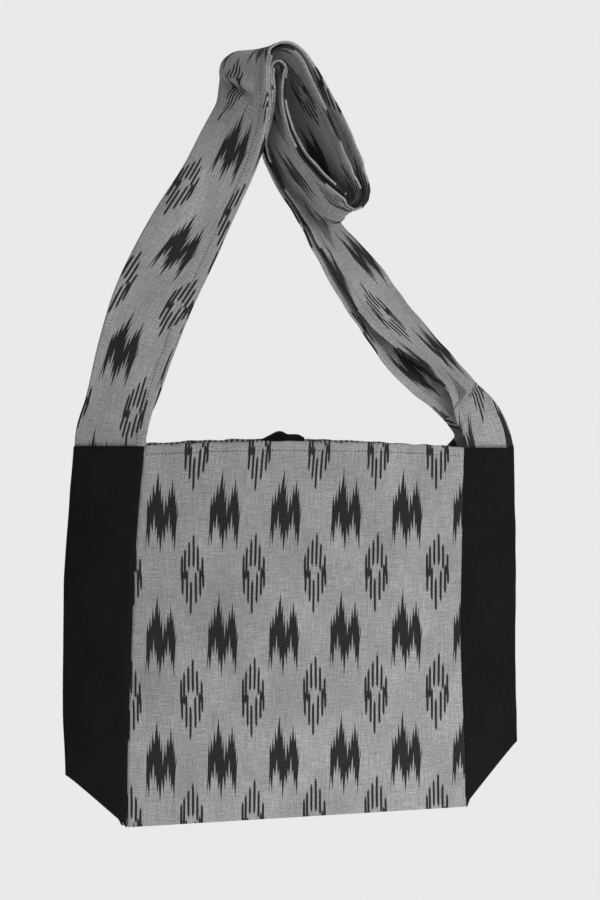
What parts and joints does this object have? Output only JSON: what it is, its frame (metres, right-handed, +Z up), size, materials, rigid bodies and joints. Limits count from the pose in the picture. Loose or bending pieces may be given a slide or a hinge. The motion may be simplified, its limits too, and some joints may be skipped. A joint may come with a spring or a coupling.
{
  "type": "messenger bag",
  "caption": "Open-topped cotton messenger bag of grey ikat cloth with black folded gussets, a tucked-up bottom and a wide folded shoulder strap, shown hanging by its strap.",
  "frame": {"origin": "top of the peg that the strap is thrown over, at the middle of the folded strap's width", "axes": "+Z up, +X to the right seen from the front, -Y towards the viewer on the front panel's side"},
  "size_m": [0.4561, 0.1232, 0.784],
  "materials": {
    "ikat_cotton": "matte woven cotton with dark ikat motifs",
    "black_cotton": "matte plain black cotton"
  },
  "bodies": {
    "root": {"front_panel": "ikat_cotton", "back_panel": "ikat_cotton", "bottom_panel": "ikat_cotton", "gusset_left": "black_cotton", "gusset_right": "black_cotton", "shoulder_strap": "ikat_cotton", "closure_tab": "black_cotton"}
  },
  "joints": []
}
